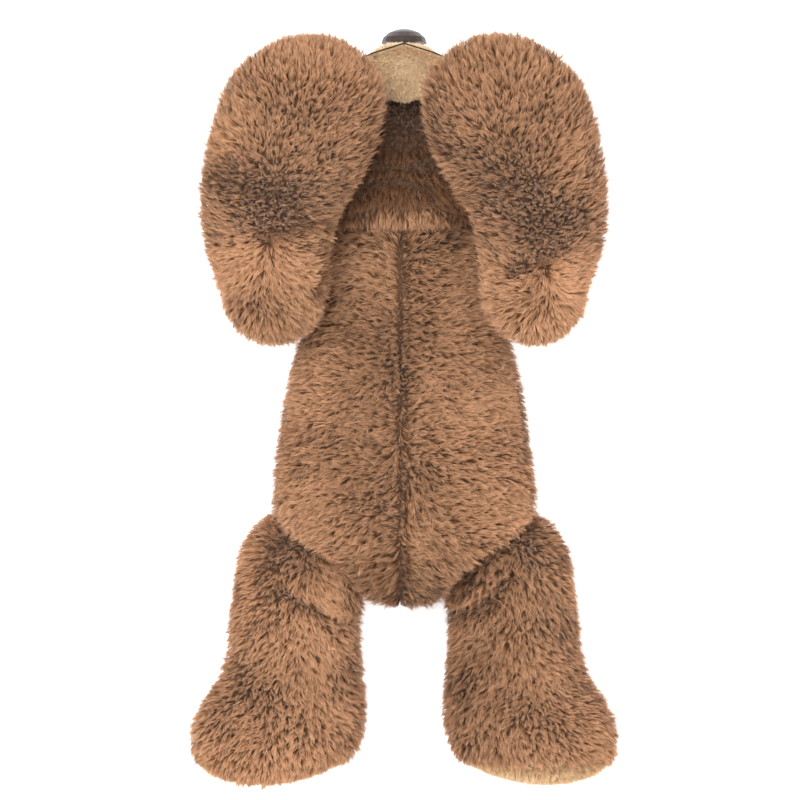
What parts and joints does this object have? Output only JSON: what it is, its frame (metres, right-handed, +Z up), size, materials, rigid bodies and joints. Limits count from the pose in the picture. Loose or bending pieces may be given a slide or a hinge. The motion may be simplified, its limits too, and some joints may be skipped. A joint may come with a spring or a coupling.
{
  "type": "plush dog",
  "caption": "Plush puppy of brown fur fabric lying on its back, belly up, with its front paws over its face and its hind legs stretched out; its sewn-on limbs, head, ears and tail flex.",
  "frame": {"origin": "middle of the footprint, on the surface the puppy lies on (bottom centre of its bounding box)", "axes": "+X to the puppy's own left, +Y from the tail to the nose, +Z up from the back to the belly, in metres"},
  "size_m": [0.3412, 0.5963, 0.214],
  "materials": {
    "brown_fur": "long soft faux fur, pile about 10 mm, paler at the tips",
    "cream_velour": "short-pile cream velour",
    "white_fibre": "loose polyester fibre filling",
    "nose_plastic": "moulded dark brown, softly glossy, finely grained",
    "eye_plastic": "polished black",
    "washer_plastic": "moulded, matt"
  },
  "bodies": {
    "torso": {"belly_panel_left": "brown_fur", "belly_panel_right": "brown_fur", "back_panel_left": "brown_fur", "back_panel_right": "brown_fur", "torso_stuffing": "white_fibre"},
    "head": {"cheek_panel_left": "brown_fur", "cheek_panel_right": "brown_fur", "throat_panel": "brown_fur", "crown_panel": "brown_fur", "head_stuffing": "white_fibre", "chin_panel": "cream_velour", "lip_panel_left": "cream_velour", "lip_panel_right": "cream_velour", "muzzle_stuffing": "white_fibre", "nose": "nose_plastic", "nose_washer": "washer_plastic", "eye_left": "eye_plastic", "eye_left_washer": "washer_plastic", "eye_right": "eye_plastic", "eye_right_washer": "washer_plastic"},
    "ear_left": {"ear_lining_left": "brown_fur", "ear_outer_left": "brown_fur"},
    "ear_right": {"ear_lining_right": "brown_fur", "ear_outer_right": "brown_fur"},
    "front_leg_left": {"front_leg_inner_panel_left": "brown_fur", "front_leg_outer_panel_left": "brown_fur", "front_leg_stuffing_left": "white_fibre"},
    "front_leg_right": {"front_leg_inner_panel_right": "brown_fur", "front_leg_outer_panel_right": "brown_fur", "front_leg_stuffing_right": "white_fibre"},
    "hind_leg_left": {"hind_leg_inner_panel_left": "brown_fur", "hind_leg_outer_panel_left": "brown_fur", "sole_pad_left": "cream_velour", "hind_leg_stuffing_left": "white_fibre"},
    "hind_leg_right": {"hind_leg_inner_panel_right": "brown_fur", "hind_leg_outer_panel_right": "brown_fur", "sole_pad_right": "cream_velour", "hind_leg_stuffing_right": "white_fibre"},
    "tail": {"tail_inner_panel": "brown_fur", "tail_outer_panel": "brown_fur", "tail_stuffing": "white_fibre"}
  },
  "joints": [
    {"name": "neck_nod", "type": "hinge", "parent": "torso", "child": "head", "pos_m": [0, 0.109, 0.062], "axis": [1, 0, 0], "range_deg": [-15, 0], "stiffness_Nm_per_rad": 1.2},
    {"name": "ear_left_fold", "type": "hinge", "parent": "head", "child": "ear_left", "pos_m": [0.0828, 0.2, 0.016], "axis": [0, -1, 0], "range_deg": [0, 40], "stiffness_Nm_per_rad": 0.02},
    {"name": "ear_right_fold", "type": "hinge", "parent": "head", "child": "ear_right", "pos_m": [-0.0828, 0.2, 0.016], "axis": [0, 1, 0], "range_deg": [0, 40], "stiffness_Nm_per_rad": 0.02},
    {"name": "shoulder_left_swing", "type": "hinge", "parent": "torso", "child": "front_leg_left", "pos_m": [0.1012, 0.094, 0.117], "axis": [1, 0, 0], "range_deg": [0, 90], "stiffness_Nm_per_rad": 0.25},
    {"name": "shoulder_right_swing", "type": "hinge", "parent": "torso", "child": "front_leg_right", "pos_m": [-0.1012, 0.094, 0.117], "axis": [1, 0, 0], "range_deg": [0, 90], "stiffness_Nm_per_rad": 0.25},
    {"name": "hip_left_swing", "type": "hinge", "parent": "torso", "child": "hind_leg_left", "pos_m": [0.081, -0.129, 0.057], "axis": [-1, 0, 0], "range_deg": [0, 60], "stiffness_Nm_per_rad": 0.3},
    {"name": "hip_right_swing", "type": "hinge", "parent": "torso", "child": "hind_leg_right", "pos_m": [-0.081, -0.129, 0.057], "axis": [-1, 0, 0], "range_deg": [0, 60], "stiffness_Nm_per_rad": 0.3},
    {"name": "tail_wag", "type": "hinge", "parent": "torso", "child": "tail", "pos_m": [0, -0.093, 0.012], "axis": [0, 0, 1], "range_deg": [-25, 25], "stiffness_Nm_per_rad": 0.02}
  ]
}
